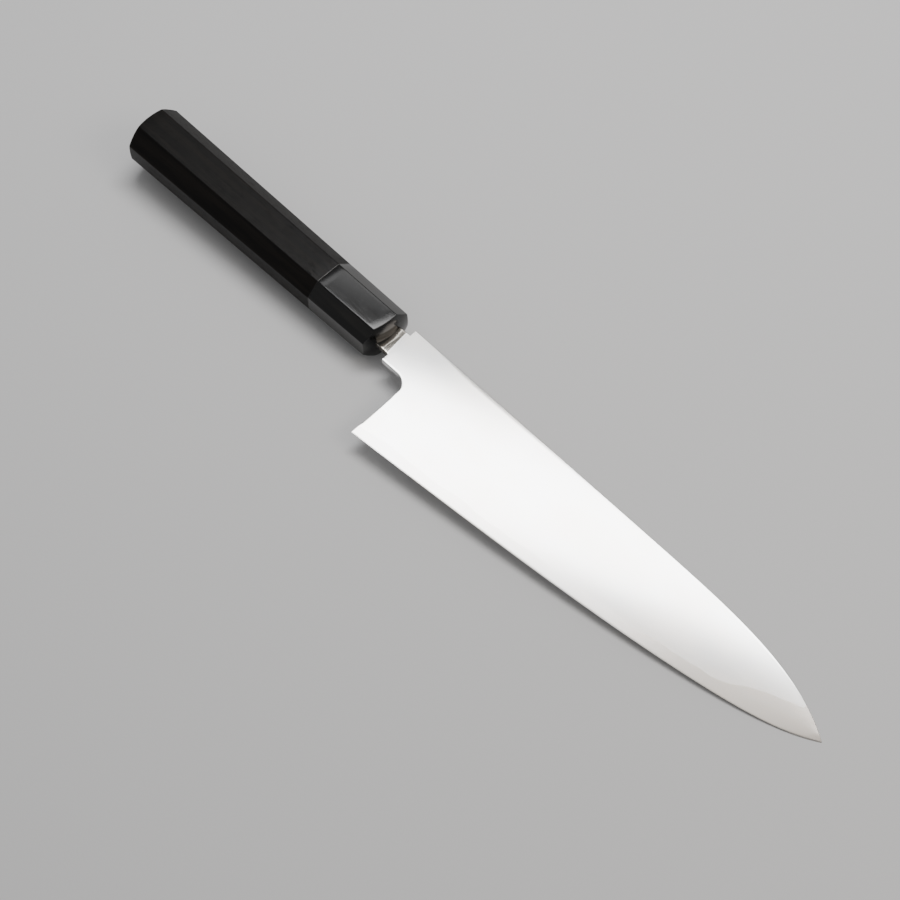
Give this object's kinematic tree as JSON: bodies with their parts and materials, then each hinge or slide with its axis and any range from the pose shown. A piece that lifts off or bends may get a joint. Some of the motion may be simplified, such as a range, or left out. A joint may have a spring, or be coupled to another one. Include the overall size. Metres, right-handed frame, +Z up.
{
  "type": "chef knife",
  "caption": "Chef knife with a laminated double-bevel blade, stepped neck, rounded choil, tapered octagonal wooden handle and dark horn ferrule.",
  "frame": {"origin": "middle of the bottom face of the bounding box, with the knife lying on its left side and the handle's axis level", "axes": "+X from the butt of the handle to the tip, +Y from the cutting edge to the spine, +Z up, out of the right side of the blade"},
  "size_m": [0.372, 0.0522, 0.0215],
  "materials": {
    "core_steel": "hard high-carbon steel, satin, a shade darker than the cladding",
    "cladding_steel": "stainless cladding, fine satin close to a mirror, ground crosswise and darker on the neck",
    "adhesive": "dark filled epoxy, matte",
    "dowel_wood": "plain magnolia wood, bare",
    "horn": "black buffalo horn, polished, with faint lengthwise streaks",
    "ebony": "ebony, oiled satin, with fine lengthwise pores"
  },
  "bodies": {
    "root": {"blade_core": "core_steel", "cladding_right": "cladding_steel", "cladding_left": "cladding_steel", "tang_adhesive": "adhesive", "handle_dowel": "dowel_wood", "ferrule": "horn", "handle_body": "ebony"}
  },
  "joints": []
}
